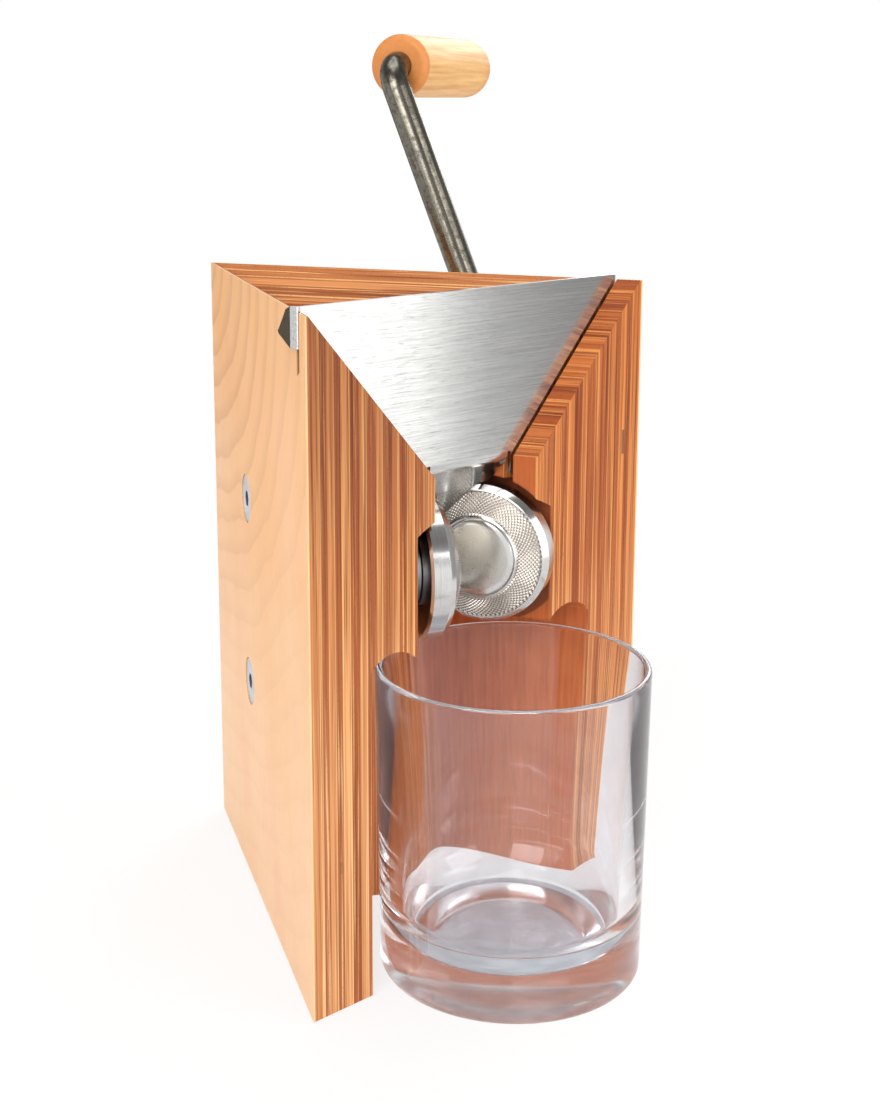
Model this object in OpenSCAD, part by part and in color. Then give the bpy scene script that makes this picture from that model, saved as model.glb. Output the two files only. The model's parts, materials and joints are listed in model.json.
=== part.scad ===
// Hand crank grain flaker.
// Two thick laminated boards meet in a mitre at the back corner and are cut flush at the front,
// so the housing is a three-sided prism. Their bevelled tops are two sides of the funnel, and a
// lift-out steel plate is the third. Two conical rollers lie square to the boards, touch along
// one line like bevel gears, and drop the flakes into a glass that stands between the legs.
// Millimetres, +Z up, the front faces -Y. The origin is on the resting face, on the joint line.

/* [Housing] */
// Width across the front face
block_w = 142; // [136:1:150]
// Depth from the front face to the back corner
block_d = 145; // [139:1:152]
// Height of the housing
block_h = 213; // [204:1:226]
// Thickness of each laminated board
board_t = 44; // [43:0.5:46]
// Flat land left along the sharp outer top edge
edge_land = 1; // [0.6:0.1:2]
// Height at which the funnel slopes meet the upright throat walls
throat_z = 160; // [158:0.5:164]
// Distance from the front face back to the origin
front_setback = 90; // [80:1:98]

/* [Glass bay] */
// Wood left between the bay and the outer face
leg_t = 21; // [18:0.5:24]
// Length of the bay along each board
bay_len = 74; // [71:1:80]
// Height of the lip that the roller pocket and the bay share
bay_lip_z = 104.6; // [103:0.2:105]
// Rise of the cove over the lip
cove_rise = 4.3; // [2:0.1:6]
// Cutter radius in the back corner of the bay
bay_corner_r = 6; // [3:0.5:10]

/* [Rollers] */
// Diameter of each roller
roller_d = 45.4; // [43:0.2:46.6]
// Width of the straight rim
rim_w = 7.3; // [6.5:0.1:8.5]
// Height of the roller axes
roller_z = 128; // [127:0.2:129.6]
// Distance of the point where the two axes cross behind the front face
apex_y = 8.2; // [7:0.1:9]
// Gap between the rollers along the nip
nip_gap = 0.4; // [0.3:0.05:0.8]
// Diameter of the flat, smooth middle that cuts each cone off
hub_d = 25; // [22:0.5:30]
// Width and depth of the groove round the flat middle
hub_groove = 0.6; // [0.3:0.1:1]
// Chamfer of the rim's front edge, measured along the radius
rim_edge = 1.4; // [0.6:0.1:2]
// Chamfer of the rim's back edge
back_edge = 0.8; // [0.4:0.1:1.5]
// Depth of the bore in the back of each roller
roller_bore_depth = 8.5; // [7.5:0.1:9]
// Room round each roller in its pocket
pocket_room = 2.4; // [2:0.1:3.4]

/* [Bearings] */
// Diameter of the idler's axle
axle_d = 10; // [8:0.5:10.5]
// Depth of the axle's seat in the left board
axle_seat = 24; // [18:1:28]
// Wall of the bearing bushes
bush_wall = 2; // [1.5:0.1:2.5]
// Length of each bush in the right board
bush_len = 14; // [10:0.5:15]
// Diameter of the bush flanges
flange_d = 22; // [19:0.5:24]
// Thickness of the bush flanges
flange_t = 2; // [1.5:0.1:2.4]
// Thickness of the thrust washers
thrust_t = 1.6; // [1.2:0.1:2]
// Outer diameter of the thrust washers
thrust_d = 24; // [20:0.5:26]
// Sheet thickness of the idler's spring washer
spring_t = 0.8; // [0.5:0.1:1.1]

/* [Crank] */
// Diameter of the bent rod
rod_d = 10; // [9:0.5:10.5]
// Length of the arm between the two bends' axes
crank_len = 167; // [150:1:180]
// Lean of the arm from upright towards the back corner, at rest
crank_lean = 21.6; // [10:0.1:30]
// Distance from the right board's outer face to the arm's centreline
arm_out = 22; // [16:0.5:26]
// Centreline radius of both bends
bend_r = 9; // [8:0.5:10.5]
// Bevel on both ends of the rod
rod_bevel = 0.8; // [0.4:0.1:1.2]
// Diameter of the roller's set screw
set_screw_d = 5; // [4:0.5:5.5]
// Length of the roller's set screw
set_screw_len = 8; // [6:0.5:10]
// Depth of the flat that the set screw bears on
flat_depth = 0.6; // [0.3:0.1:1]

/* [Grip] */
// Diameter of the wooden grip
grip_d = 22.5; // [20:0.5:26]
// Length of the wooden grip
grip_len = 72; // [60:1:80]
// Rounding of the grip's free end
grip_round = 5; // [3:0.5:6]
// Rounding of the grip's end next to the arm
grip_neck_round = 2.5; // [1:0.5:3.5]
// Diameter of the recess in the free end
recess_d = 15; // [13.5:0.5:16]
// Depth of the recess in the free end
recess_depth = 7; // [6:0.5:9]
// Diameter of the grip's end washer
end_washer_d = 13; // [12:0.1:13.3]
// Thickness of the grip's end washer
end_washer_t = 1.5; // [1:0.1:2]
// Thread diameter of the grip screw
grip_screw_d = 5; // [4:0.5:6]
// Diameter of the grip screw's head
grip_screw_head_d = 9.5; // [8.5:0.1:11]
// Height of the grip screw's head
grip_screw_head_h = 2.75; // [2:0.05:3]
// Length of the grip screw under its head
grip_screw_len = 16; // [12:1:20]

/* [Front plate] */
// Thickness of the steel sheet
plate_t = 1.5; // [1:0.1:1.8]
// Distance of the saw kerf behind the front face
kerf_y = 7.2; // [7:0.1:8.4]
// Width of the saw kerf
kerf_w = 3; // [2.6:0.1:3.4]
// Depth of the kerf, measured across the housing
kerf_bite = 17; // [15:0.5:18]
// Reach of the plate into the kerf, measured across the housing
plate_bite = 11.5; // [9:0.5:13]
// Height of the plate's top edge above the housing
plate_rise = 1.6; // [0.5:0.1:4]
// Length of the ears folded back along the outer faces
ear_len = 18; // [10:0.5:20]
// Height of the ears at the fold
ear_h = 12; // [11:0.5:16]
// Slope of the ears' top edge down towards their tips
ear_slope = 25; // [10:1:28]
// Inner radius of the ears' folds
ear_fold_r = 0.6; // [0.4:0.1:0.8]
// Angle of the lower lip from upright
lip_angle = 35; // [30:1:38]
// Radius of the fold above the lip, to the middle of the sheet
lip_fold_r = 5; // [2:0.5:7]
// Length of the lower lip along its slope
lip_len = 21.5; // [18:0.5:22]
// Room between the lip's shoulders and the rollers
lip_room = 1.2; // [0.8:0.1:2]
// Room on each side of the tongue between the cones, measured across the housing
tongue_room = 1.6; // [1.4:0.1:2.2]
// Distance from the lip's end to where the tongue starts to taper to its tip
tip_len = 5.4; // [4:0.1:7]
// Half width of the tongue's tip
tip_x = 1.6; // [1:0.1:2]

/* [Fasteners] */
// Distance of the connector screws along the left board from its front edge
screw_u = 98; // [90:1:104]
// Height of the lower connector screw, the upper one lies as far below the top
screw_z = 74; // [60:1:84]
// Diameter of the screw heads
screw_head_d = 16; // [12:0.5:17]
// Thickness of the screw heads
screw_head_t = 3; // [2:0.2:4]
// Diameter of the screw shanks
screw_d = 7; // [5:0.5:8]
// Overall length of the connector screws
screw_len = 44; // [40:0.5:45]
// Key width of the screws' drive recess
drive_af = 5; // [4:0.5:6]
// Metal left under the drive recess
drive_floor = 0.5; // [0.3:0.1:1]
// Diameter of the alignment dowels
dowel_d = 8; // [6:0.5:10]
// Length of the alignment dowels
dowel_len = 30; // [24:1:34]
// Distance of the dowels behind the front face
dowel_y = 95; // [92:1:100]
// Height of the lowest of the three dowels
dowel_low_z = 30; // [15:1:50]
// Height of the highest dowel
dowel_high_z = 168; // [155:1:180]

/* [Catch glass] */
// Outer diameter at the rim
glass_d = 85.8; // [80:0.2:88]
// Outer diameter at the foot
glass_foot_d = 83; // [76:0.2:85]
// Height of the glass
glass_h = 100; // [90:0.5:102]
// Wall thickness at the rim
glass_wall = 2.2; // [1.6:0.1:3]
// Wall thickness above the rounded floor
glass_low_wall = 6.6; // [3:0.1:8]
// Thickness of the heavy base
glass_base = 10; // [8:0.5:16]
// Rounding between the glass's inner wall and floor
glass_floor_round = 17; // [6:0.5:20]
// Rounding of the glass's outer lower edge
glass_foot_round = 3; // [1:0.5:5]
// Width of the ring that the glass stands on
glass_ring_w = 9; // [6:0.5:14]
// Height of the hollow under the glass's base
glass_hollow = 1.2; // [0.6:0.1:2]
// Distance of the glass's axis in front of the housing's front face
glass_out = 12; // [10:0.5:40]

/* [Fits] */
// Radial room of turning shafts in their bores
run_room = 0.05; // [0.02:0.01:0.1]
// Radial room of parts that are pressed, glued or screwed in
seat_room = 0.02; // [0.01:0.01:0.04]
// Room between faces of parts that move past each other
face_room = 0.3; // [0.2:0.05:0.5]

/* [Hidden] */
$fn = 96;
eps = 0.01;
far = 60;   // how far the cutters run past the wood

// Housing geometry: u runs along a board from its front edge, n inward from its outer face
wedge = atan(block_w / 2 / block_d);
front_y = -front_setback;
board_len = norm([block_w / 2, block_d]);
inner_front_x = block_w / 2 - board_t / cos(wedge);
mitre_y = inner_front_x / tan(wedge);
slope = (block_h - throat_z) / (board_t - edge_land);

// Roller geometry: s runs outward along a roller axis from the point where the two axes cross
roller_r = roller_d / 2;
hub_r = hub_d / 2;
cone_s = nip_gap / 2 / cos(wedge);
hub_s = cone_s + hub_r * tan(wedge);
rim_s = cone_s + roller_r * tan(wedge);
back_s = rim_s + rim_w;
apex_n = block_w / 2 * cos(wedge) - apex_y * sin(wedge);
axis_u = block_w / 2 * sin(wedge) + apex_y * cos(wedge);
pocket_r = roller_r + pocket_room;
pocket_s = back_s + face_room + thrust_t + flange_t;
pocket_n = apex_n - pocket_s;
outer_s = apex_n;

// Bay
cove_c = (pocket_n - leg_t) / 2;
cove_r = (pow(cove_c, 2) + pow(cove_rise, 2)) / 2 / cove_rise;

// Crank, measured along the axis from the same point outward
rod_r = rod_d / 2;
rod_start_s = back_s - roller_bore_depth + face_room;
arm_s = outer_s + arm_out;
grip_s = arm_s + bend_r + face_room;
spindle_end_s = grip_s + grip_len - recess_depth + face_room;
bush_r = rod_r + run_room + bush_wall;
idler_bush_r = axle_d / 2 + run_room + bush_wall;
set_screw_s = rim_s + rim_w / 2;

// Front plate
plate_y = kerf_y + (kerf_w - plate_t) / 2;
lip_y = plate_y + plate_t / 2;
plate_top_z = block_h + plate_rise;
fold_len = lip_fold_r * tan(lip_angle / 2);
ear_fold_y = lip_y + ear_fold_r + plate_t / 2;
ear_fold_x = block_w / 2 - (ear_fold_r - face_room + ear_fold_y * sin(wedge)) / cos(wedge);
ear_fold_u = (block_w / 2 - ear_fold_x) * sin(wedge) + ear_fold_y * cos(wedge);

// X of a funnel slope at height z, in the plane y behind the front face
function slope_x(z, y) =
    block_w / 2 - y * tan(wedge) - (edge_land + (block_h - z) / slope) / cos(wedge);
// Height of a funnel slope at x, in the plane y behind the front face
function slope_z(x, y) =
    block_h - slope * ((block_w / 2 - y * tan(wedge) - x) * cos(wedge) - edge_land);
// Half width of the throat in the plane y behind the front face
function throat_x(y) = inner_front_x - y * tan(wedge);

// Right board's frame: X along the board to the back, Y inward from its outer face
module board_frame() {
    translate([block_w / 2, front_y, 0]) rotate([0, 0, 90 + wedge]) children();
}

// Right roller's frame: Z outward along the axis, -X up, +Y to the back
module axis_frame() {
    translate([0, front_y + apex_y, roller_z]) rotate([0, 0, wedge]) rotate([0, 90, 0]) children();
}

module left_side() {
    mirror([1, 0, 0]) children();
}

// Crank's frame: as the right roller's, with +X up along the arm
module crank_frame() {
    axis_frame() rotate([0, 0, 180 - crank_lean]) children();
}

module ring(outer_r, inner_r, height) {
    difference() {
        cylinder(r = outer_r, h = height);
        translate([0, 0, -eps]) cylinder(r = inner_r, h = height + 2 * eps);
    }
}

// A quarter turn of the rod, in the X-Z plane, from angle a to a + 90 degrees
module rod_bend(a) {
    rotate([90, 0, 0]) rotate([0, 0, a]) rotate_extrude(angle = 90) translate([bend_r, 0]) circle(r = rod_r);
}

// ---- Housing ----

// Funnel slope, cut along the whole board
module slope_cut() {
    translate([-far, 0, 0]) rotate([90, 0, 90]) linear_extrude(board_len + 2 * far)
        polygon([[edge_land, block_h], [board_t, throat_z], [board_t + far, throat_z],
                 [board_t + far, block_h + far], [edge_land, block_h + far]]);
}

// Saw kerf that holds the front plate
module kerf_cut() {
    low_z = throat_z - (kerf_bite + 1) * slope * cos(wedge);
    high_z = block_h + 5;
    mid_y = kerf_y + kerf_w / 2;
    translate([0, front_y + kerf_y + kerf_w, 0]) rotate([90, 0, 0]) linear_extrude(kerf_w)
        polygon([[slope_x(low_z, mid_y) - kerf_w, low_z], [slope_x(low_z, mid_y) + kerf_bite, low_z],
                 [slope_x(high_z, mid_y) + kerf_bite, high_z], [slope_x(high_z, mid_y) - kerf_w, high_z]]);
}

// Round pocket for the roller, open downward into the bay
module roller_pocket() {
    open_s = apex_n - board_t - 2;
    translate([0, 0, open_s]) cylinder(r = pocket_r, h = pocket_s - open_s);
    translate([0, -pocket_r, open_s])
        cube([roller_z - bay_lip_z + 1, 2 * pocket_r, pocket_s - open_s]);
}

// Bay for the glass, with a cove along its top
module bay_cut() {
    bay_n = board_t + far;
    cove_n = leg_t + cove_c;
    translate([-far, leg_t, -1]) cube([far + bay_len - bay_corner_r, bay_n, bay_lip_z + 1]);
    translate([-far, leg_t + bay_corner_r, -1]) cube([far + bay_len, bay_n, bay_lip_z + 1]);
    translate([bay_len - bay_corner_r, leg_t + bay_corner_r, -1])
        cylinder(r = bay_corner_r, h = bay_lip_z + 1);
    intersection() {
        translate([-far, cove_n, bay_lip_z + cove_rise - cove_r]) rotate([0, 90, 0])
            cylinder(r = cove_r, h = far + bay_len - bay_corner_r);
        translate([-far, leg_t, bay_lip_z - 1]) cube([2 * far + board_len, 2 * cove_c, cove_rise + 2]);
    }
}

// Right-hand board with everything that both boards share
module board() {
    difference() {
        translate([0, front_y, 0]) linear_extrude(block_h)
            polygon([[inner_front_x, 0], [block_w / 2, 0], [0, block_d], [0, mitre_y]]);
        board_frame() slope_cut();
        kerf_cut();
        axis_frame() roller_pocket();
        board_frame() bay_cut();
        dowel_row(seat_room);
    }
}

module dowel_row(room) {
    for (z = [dowel_low_z, (dowel_low_z + dowel_high_z) / 2, dowel_high_z])
        translate([-dowel_len / 2 - room, front_y + dowel_y, z]) rotate([0, 90, 0])
            cylinder(d = dowel_d + 2 * room, h = dowel_len + 2 * room);
}

// Places a connector screw, its head at the left board's outer face and its shank inward
module at_screws() {
    for (z = [screw_z, block_h - screw_z])
        left_side() board_frame() translate([screw_u, 0, z]) rotate([-90, 0, 0]) children();
}

module screw_hole() {
    translate([0, 0, -1]) cylinder(d = screw_head_d + 2 * face_room, h = 1 + screw_head_t + face_room);
    cylinder(d = screw_d + 2 * seat_room, h = screw_len + face_room);
}

module left_board() {
    color("#d9a066") difference() {
        left_side() board();
        left_side() axis_frame() translate([0, 0, pocket_s - 1])
            cylinder(d = axle_d + 2 * seat_room, h = axle_seat + 1);
        at_screws() screw_hole();
    }
}

module right_board() {
    color("#d9a066") difference() {
        board();
        axis_frame() translate([0, 0, pocket_s - 1])
            cylinder(r = rod_r + 1, h = outer_s - pocket_s + 2);
        for (s = [pocket_s - 1, outer_s - bush_len])
            axis_frame() translate([0, 0, s]) cylinder(r = bush_r + seat_room, h = bush_len + 1);
        at_screws() screw_hole();
    }
}

module alignment_dowels() {
    color("#e3c08b") dowel_row(0);
}

module connector_screws() {
    tip = screw_d;
    color("#c9ccd0") at_screws() translate([0, 0, face_room]) difference() {
        union() {
            cylinder(d = screw_head_d, h = screw_head_t);
            cylinder(d = screw_d, h = screw_len - tip - face_room);
            translate([0, 0, screw_len - tip - face_room]) cylinder(d1 = screw_d, d2 = 1, h = tip);
        }
        translate([0, 0, -eps]) cylinder(d = drive_af / cos(30), h = screw_head_t - drive_floor, $fn = 6);
    }
}

// ---- Bearings of the driven roller ----

module flanged_bush() {
    ring(flange_d / 2, rod_r + run_room, flange_t);
    ring(bush_r, rod_r + run_room, flange_t + bush_len);
}

module outer_bush() {
    color("#b08d57") axis_frame() translate([0, 0, outer_s + flange_t]) mirror([0, 0, 1]) flanged_bush();
}

module inner_bush() {
    color("#b08d57") axis_frame() translate([0, 0, pocket_s - flange_t]) flanged_bush();
}

module driven_thrust_washer() {
    color("#c9ccd0") axis_frame() translate([0, 0, pocket_s - flange_t - thrust_t])
        ring(thrust_d / 2, rod_r + run_room, thrust_t);
}

// ---- Rollers ----

module roller_blank(bore_r) {
    edge_r = roller_r - rim_edge;
    difference() {
        rotate_extrude() polygon([
            [0, hub_s],
            [hub_r - hub_groove, hub_s],
            [hub_r, hub_s + hub_groove],
            [hub_r + hub_groove, cone_s + (hub_r + hub_groove) * tan(wedge)],
            [edge_r, cone_s + edge_r * tan(wedge)],
            [roller_r, rim_s + rim_edge],
            [roller_r, back_s - back_edge],
            [roller_r - back_edge, back_s],
            [0, back_s]]);
        translate([0, 0, back_s - roller_bore_depth]) cylinder(r = bore_r, h = roller_bore_depth + 1);
    }
}

module driven_roller() {
    color("#b9bcc0") crank_frame() difference() {
        roller_blank(rod_r + seat_room);
        translate([0, 0, set_screw_s]) rotate([0, 90, 0])
            cylinder(d = set_screw_d + 2 * seat_room, h = roller_r + 1);
    }
}

module roller_set_screw() {
    color("#55585c") crank_frame() translate([rod_r - flat_depth + eps, 0, set_screw_s]) rotate([0, 90, 0])
        difference() {
            cylinder(d = set_screw_d, h = set_screw_len);
            translate([0, 0, set_screw_len / 2])
                cylinder(d = set_screw_d / 2 / cos(30), h = set_screw_len, $fn = 6);
        }
}

module idler_roller() {
    color("#b9bcc0") left_side() axis_frame() roller_blank(idler_bush_r + seat_room);
}

module idler_bush() {
    color("#b08d57") left_side() axis_frame()
        translate([0, 0, back_s - roller_bore_depth + face_room])
            ring(idler_bush_r, axle_d / 2 + run_room, roller_bore_depth - face_room);
}

module idler_axle() {
    start_s = back_s - roller_bore_depth + 2 * face_room;
    color("#8f9399") left_side() axis_frame() translate([0, 0, start_s])
        cylinder(d = axle_d, h = pocket_s + axle_seat - start_s);
}

module idler_thrust_washer() {
    color("#c9ccd0") left_side() axis_frame() translate([0, 0, pocket_s - flange_t - thrust_t])
        ring(thrust_d / 2, axle_d / 2 + run_room, thrust_t);
}

// Conical spring washer that fills the height of a bush flange behind the idler
module idler_spring_washer() {
    inner_r = axle_d / 2 + face_room;
    outer_r = flange_d / 2;
    color("#8f9399") left_side() axis_frame() translate([0, 0, pocket_s - flange_t])
        rotate_extrude() polygon([[inner_r, 0], [inner_r, spring_t], [outer_r, flange_t],
                                  [outer_r, flange_t - spring_t]]);
}

// ---- Crank and grip ----

module crank_rod() {
    color("#a7abb0") crank_frame() difference() {
        union() {
            translate([0, 0, rod_start_s]) cylinder(r1 = rod_r - rod_bevel, r2 = rod_r, h = rod_bevel);
            translate([0, 0, rod_start_s + rod_bevel])
                cylinder(r = rod_r, h = arm_s - bend_r - rod_start_s - rod_bevel);
            translate([bend_r, 0, arm_s - bend_r]) rod_bend(90);
            translate([bend_r, 0, arm_s]) rotate([0, 90, 0])
                cylinder(r = rod_r, h = crank_len - 2 * bend_r);
            translate([crank_len - bend_r, 0, arm_s + bend_r]) rod_bend(270);
            translate([crank_len, 0, arm_s + bend_r])
                cylinder(r = rod_r, h = spindle_end_s - arm_s - bend_r);
        }
        translate([rod_r - flat_depth, -rod_r, rod_start_s - 1])
            cube([rod_r, rod_d, set_screw_s + set_screw_d - rod_start_s + 1]);
        translate([crank_len, 0, spindle_end_s - grip_screw_len])
            cylinder(d = grip_screw_d + 2 * seat_room, h = grip_screw_len + 1);
    }
}

// Half outline of the grip, from its bore outward
function arc_points(cx, cy, r, a0, a1) =
    [for (i = [0:8]) let (a = a0 + (a1 - a0) * i / 8) [cx + r * cos(a), cy + r * sin(a)]];

module grip() {
    grip_r = grip_d / 2;
    color("#e8bf85") crank_frame() translate([crank_len, 0, grip_s]) difference() {
        rotate_extrude() polygon(concat(
            [[0, 0]],
            arc_points(grip_r - grip_neck_round, grip_neck_round, grip_neck_round, -90, 0),
            arc_points(grip_r - grip_round, grip_len - grip_round, grip_round, 0, 90),
            [[0, grip_len]]));
        translate([0, 0, -1]) cylinder(r = rod_r + run_room, h = grip_len + 2);
        translate([0, 0, grip_len - recess_depth]) cylinder(d = recess_d, h = recess_depth + 1);
    }
}

module grip_end_washer() {
    color("#c9ccd0") crank_frame() translate([crank_len, 0, spindle_end_s])
        ring(end_washer_d / 2, grip_screw_d / 2 + seat_room, end_washer_t);
}

module grip_screw() {
    color("#c9ccd0") crank_frame() translate([crank_len, 0, spindle_end_s + end_washer_t]) difference() {
        union() {
            translate([0, 0, -grip_screw_len + end_washer_t + face_room])
                cylinder(d = grip_screw_d, h = grip_screw_len - end_washer_t);
            cylinder(d1 = grip_screw_head_d, d2 = grip_screw_head_d - grip_screw_head_h,
                h = grip_screw_head_h);
        }
        translate([0, 0, grip_screw_head_h / 2])
            cylinder(d = grip_screw_d / 2 / cos(30), h = grip_screw_head_h, $fn = 6);
    }
}

// ---- Front plate ----

// Mirrors a half outline, given from the middle's one end to the other, to the full outline
function both_halves(half) =
    concat(half, [for (i = [len(half) - 1:-1:0]) [-half[i][0], half[i][1]]]);

// Upright sheet in the kerf, its two feet on the kerf's floor
module plate_sheet() {
    foot_x = slope_x(throat_z, lip_y) + plate_bite;
    foot_z = throat_z - (kerf_bite - plate_bite) * slope * cos(wedge) + face_room;
    ear_z = slope_z(ear_fold_x - plate_bite, lip_y);
    side_x = throat_x(lip_y) + face_room;
    translate([0, front_y + plate_y + plate_t, 0]) rotate([90, 0, 0]) linear_extrude(plate_t)
        polygon(both_halves([[ear_fold_x, plate_top_z], [ear_fold_x, ear_z], [foot_x, throat_z],
                             [foot_x, foot_z], [side_x, foot_z], [side_x, throat_z + fold_len]]));
}

// Ear on the right, bent round the kerf's edge and back along the board's outer face
module plate_ear() {
    translate([ear_fold_x, front_y + ear_fold_y, plate_top_z - ear_h]) rotate([0, 0, -90])
        rotate_extrude(angle = 90 + wedge) translate([ear_fold_r, 0]) square([plate_t, ear_h]);
    board_frame() translate([ear_fold_u, -face_room, 0]) rotate([90, 0, 0]) linear_extrude(plate_t)
        polygon([[0, plate_top_z], [ear_len / 3, plate_top_z - plate_t],
                 [ear_len - plate_t, plate_top_z - ear_len * tan(ear_slope)],
                 [ear_len, plate_top_z - ear_len * tan(ear_slope) - plate_t / 2],
                 [ear_len - plate_t, plate_top_z - ear_len * tan(ear_slope) - plate_t],
                 [0, plate_top_z - ear_h]]);
}

// Half width that leaves the room between the cones free, at length l down the lip
function tongue_x(l) = let (
        back = lip_y + l * sin(lip_angle) - apex_y,
        up = throat_z - l * cos(lip_angle) - roller_z,
        reach = norm([up, back * cos(wedge)])
    ) (reach * tan(wedge) + cone_s - back * sin(wedge)) / cos(wedge) - tongue_room;

// Lip that bends back out of the sheet: as wide as the throat above the rollers, then a tongue between them
module plate_lip() {
    fold_x = throat_x(lip_y + plate_t) - face_room;
    shoulder_l = (throat_z - roller_z - roller_r - lip_room) / cos(lip_angle);
    shoulder_x = throat_x(lip_y + shoulder_l * sin(lip_angle) + plate_t) - face_room;
    half = [[fold_x, fold_len], [shoulder_x, shoulder_l], [tongue_x(shoulder_l), shoulder_l],
            [tongue_x(lip_len - tip_len), lip_len - tip_len], [tip_x, lip_len]];
    translate([0, front_y + lip_y + lip_fold_r, throat_z + fold_len]) rotate([0, 90, 0]) rotate([0, 0, -90])
        rotate_extrude(angle = lip_angle) translate([lip_fold_r - plate_t / 2, -fold_x])
            square([plate_t, 2 * fold_x]);
    translate([0, front_y + lip_y, throat_z]) rotate([lip_angle, 0, 0]) translate([0, plate_t / 2, 0])
        rotate([90, 0, 0]) linear_extrude(plate_t) mirror([0, 1, 0]) polygon(both_halves(half));
}

module front_plate() {
    color("#d3d5d8") {
        plate_sheet();
        plate_ear();
        left_side() plate_ear();
        plate_lip();
    }
}

// ---- Catch glass ----

module catch_glass() {
    rim_r = glass_d / 2;
    foot_r = glass_foot_d / 2;
    bowl_z = glass_base + glass_floor_round;
    bowl_r = foot_r + (rim_r - foot_r) * bowl_z / glass_h - glass_low_wall;
    color("#dfe6ea", 0.4) translate([0, front_y - glass_out, 0]) rotate_extrude() polygon(concat(
        [[0, glass_hollow], [foot_r - glass_foot_round - glass_ring_w - glass_hollow, glass_hollow],
         [foot_r - glass_foot_round - glass_ring_w, 0]],
        arc_points(foot_r - glass_foot_round, glass_foot_round, glass_foot_round, -90, 0),
        arc_points(rim_r - glass_wall / 2, glass_h - glass_wall / 2, glass_wall / 2, 0, 180),
        arc_points(bowl_r - glass_floor_round, bowl_z, glass_floor_round, 0, -90),
        [[0, glass_base]]));
}

left_board();
right_board();
alignment_dowels();
connector_screws();
outer_bush();
inner_bush();
driven_thrust_washer();
crank_rod();
driven_roller();
roller_set_screw();
grip();
grip_end_washer();
grip_screw();
idler_axle();
idler_bush();
idler_roller();
idler_thrust_washer();
idler_spring_washer();
front_plate();
catch_glass();
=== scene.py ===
"""Looks of the hand crank grain flaker: wood, brushed plate, knurled rollers, glass, studio, camera.

Places are in metres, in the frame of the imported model. The shader and lathe helpers work in
millimetres.
"""
import bpy
import json
import math
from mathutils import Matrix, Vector


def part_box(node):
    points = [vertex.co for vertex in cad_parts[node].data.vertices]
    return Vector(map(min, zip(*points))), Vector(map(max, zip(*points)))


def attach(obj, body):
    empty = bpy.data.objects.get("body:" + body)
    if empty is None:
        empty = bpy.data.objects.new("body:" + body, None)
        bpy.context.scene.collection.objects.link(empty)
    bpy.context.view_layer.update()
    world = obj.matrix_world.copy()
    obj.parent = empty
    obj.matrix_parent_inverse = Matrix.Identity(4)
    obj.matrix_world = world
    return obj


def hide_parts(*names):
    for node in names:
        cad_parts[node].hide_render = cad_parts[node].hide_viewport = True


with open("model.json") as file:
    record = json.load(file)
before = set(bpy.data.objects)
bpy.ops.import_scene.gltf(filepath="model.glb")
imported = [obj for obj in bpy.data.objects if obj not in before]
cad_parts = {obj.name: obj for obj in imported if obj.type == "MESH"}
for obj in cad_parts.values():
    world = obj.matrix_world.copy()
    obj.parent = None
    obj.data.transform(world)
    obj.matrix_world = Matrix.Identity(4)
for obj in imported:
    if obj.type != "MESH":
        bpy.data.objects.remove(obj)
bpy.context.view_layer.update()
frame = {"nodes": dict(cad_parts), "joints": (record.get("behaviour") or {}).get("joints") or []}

MM = 0.001
UP = Vector((0, 0, 1))

# ---- Sizes and directions read from the frame ----

board_low, board_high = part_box("right_board")
HALF_W = board_high.x
FRONT_Y = board_low.y
HEIGHT = board_high.z
WEDGE = math.atan(HALF_W / (board_high.y - FRONT_Y))
SIN, COS = math.sin(WEDGE), math.cos(WEDGE)

JOINTS = {joint["name"]: joint for joint in frame["joints"]}
APEX = Vector(JOINTS["crank_turn"]["pos_m"])
RIGHT_AXIS = Vector(JOINTS["crank_turn"]["axis"]).normalized()
LEFT_AXIS = Vector(JOINTS["idler_turn"]["axis"]).normalized()
GRIP_POINT = Vector(JOINTS["grip_spin"]["pos_m"])
reach = GRIP_POINT - APEX
ARM = (reach - RIGHT_AXIS * reach.dot(RIGHT_AXIS)).normalized()

# ---- Sizes of the pieces that are turned here, in millimetres ----

# Rollers, with the sizes of their solids and a knurl
ROLLER_R = 22.7
RIM_W = 7.3
RIM_EDGE = 1.4
BACK_EDGE = 0.8
HUB_R = 12.5
HUB_FLAT_R = 10.6
HUB_SLOPE = 0.45
GROOVE = 0.6
NIP_GAP = 0.4
BORE_DEPTH = 8.5
DRIVEN_BORE_R = 5.02
IDLER_BORE_R = 7.07
KNURL_IN = HUB_R + 1.1
KNURL_OUT = ROLLER_R - RIM_EDGE - 0.3
KNURL_AROUND = 80
KNURL_ROWS = 13
KNURL_DEPTH = 0.55
# Radius of the tiny disc that closes each end of a lathe outline
END_DISC_R = 0.02

# Glass, with the sizes of its solid
GLASS_R = 42.9
GLASS_FOOT_R = 41.5
GLASS_H = 100.0
GLASS_WALL = 2.2
GLASS_LOW_WALL = 6.6
GLASS_BASE = 10.0
GLASS_FLOOR_ROUND = 17.0
GLASS_FOOT_ROUND = 3.0
GLASS_RING_W = 9.0
GLASS_HOLLOW = 1.2

# ---- Node helper ----


def srgb(red, green, blue):
    """Linear colour of an sRGB colour given as 0 to 255."""
    return tuple(
        (c / 12.92 if c <= 0.04045 else ((c + 0.055) / 1.055) ** 2.4)
        for c in (red / 255, green / 255, blue / 255)
    )


def shade(colour, factor):
    """Linear colour of a darker sRGB colour."""
    return srgb(*(c * factor for c in colour))


def grey(level):
    return (level, level, level)


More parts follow.
